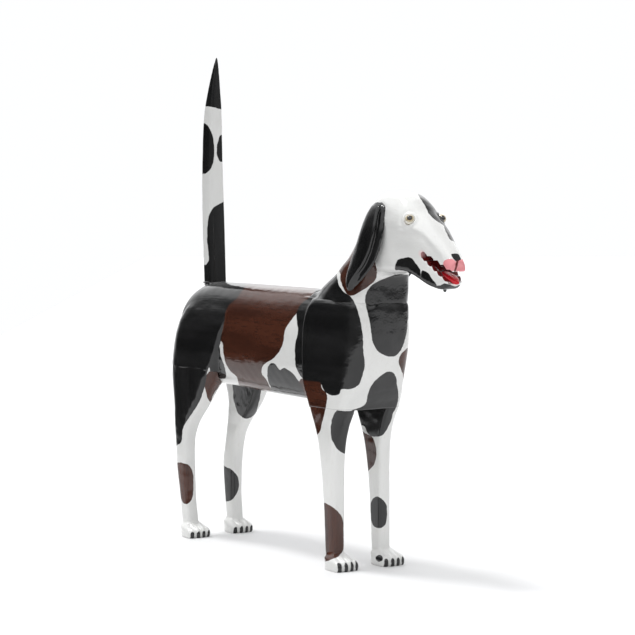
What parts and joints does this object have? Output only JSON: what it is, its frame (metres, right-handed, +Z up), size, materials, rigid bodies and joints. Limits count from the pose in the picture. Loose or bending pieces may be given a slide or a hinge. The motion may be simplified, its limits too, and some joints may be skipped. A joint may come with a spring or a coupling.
{
  "type": "carved dog figure",
  "caption": "Carved and painted wooden hound standing on its feet, with its tail straight up, hanging ears, glass eyes and an open mouth; made to be looked at.",
  "frame": {"origin": "under the middle of the figure's length and width, on the ground it stands on", "axes": "+X towards the nose, +Y to the dog's left, +Z up"},
  "size_m": [0.7966, 0.15, 0.9025],
  "materials": {
    "painted_wood": "gloss enamel, white with black and brown patches",
    "black_wood": "gloss enamel, black",
    "red_wood": "gloss enamel, red",
    "glass_eye": "polished, cream with a black pupil"
  },
  "bodies": {
    "root": {"torso": "painted_wood", "head": "painted_wood", "leg_front_left": "painted_wood", "leg_front_right": "painted_wood", "leg_hind_left": "painted_wood", "leg_hind_right": "painted_wood", "tail": "black_wood", "ear_left": "black_wood", "ear_right": "black_wood", "tongue": "red_wood", "eye_left": "glass_eye", "eye_right": "glass_eye"}
  },
  "joints": []
}
